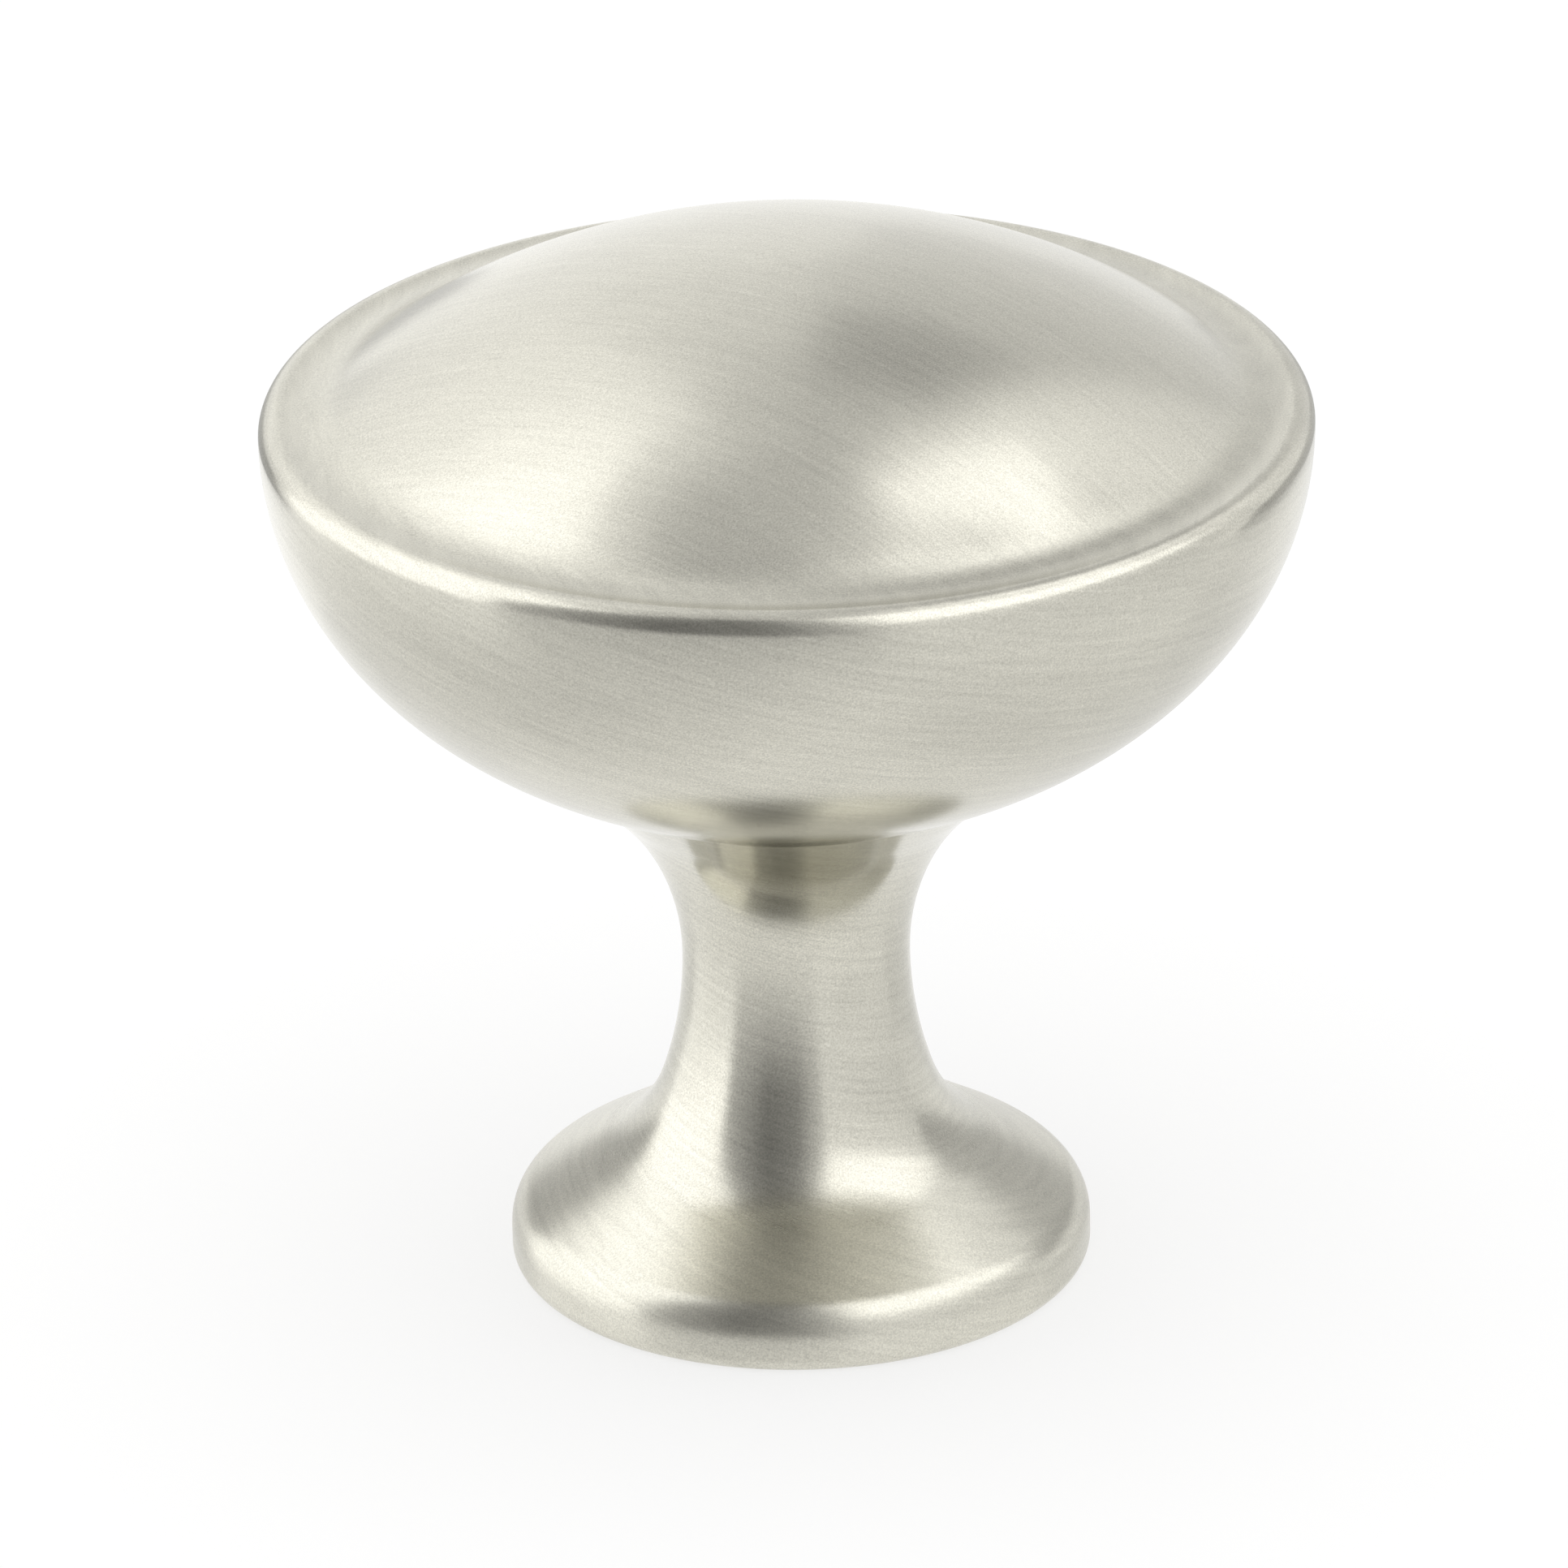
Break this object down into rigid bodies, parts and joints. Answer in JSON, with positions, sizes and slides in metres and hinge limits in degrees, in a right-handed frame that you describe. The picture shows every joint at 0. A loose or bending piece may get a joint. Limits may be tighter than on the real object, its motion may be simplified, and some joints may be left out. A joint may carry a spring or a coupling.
{
  "type": "cabinet knob",
  "caption": "Round cabinet knob: low dome and cove inside a narrow rim, bowl-shaped head, waisted neck and round foot, satin nickel finish, screwed from behind.",
  "frame": {"origin": "centre of the flat mounting face, where the knob's axis meets the cabinet front", "axes": "+Z along the knob's axis, away from the cabinet front and out through the top of the dome; the knob is a body of revolution, so +X and +Y are any two square directions in the mounting face"},
  "size_m": [0.032, 0.032, 0.0331],
  "materials": {
    "satin_nickel": "satin brushed nickel plate on a zinc casting, with the brushing running round the axis"
  },
  "bodies": {
    "root": {"knob": "satin_nickel"}
  },
  "joints": []
}
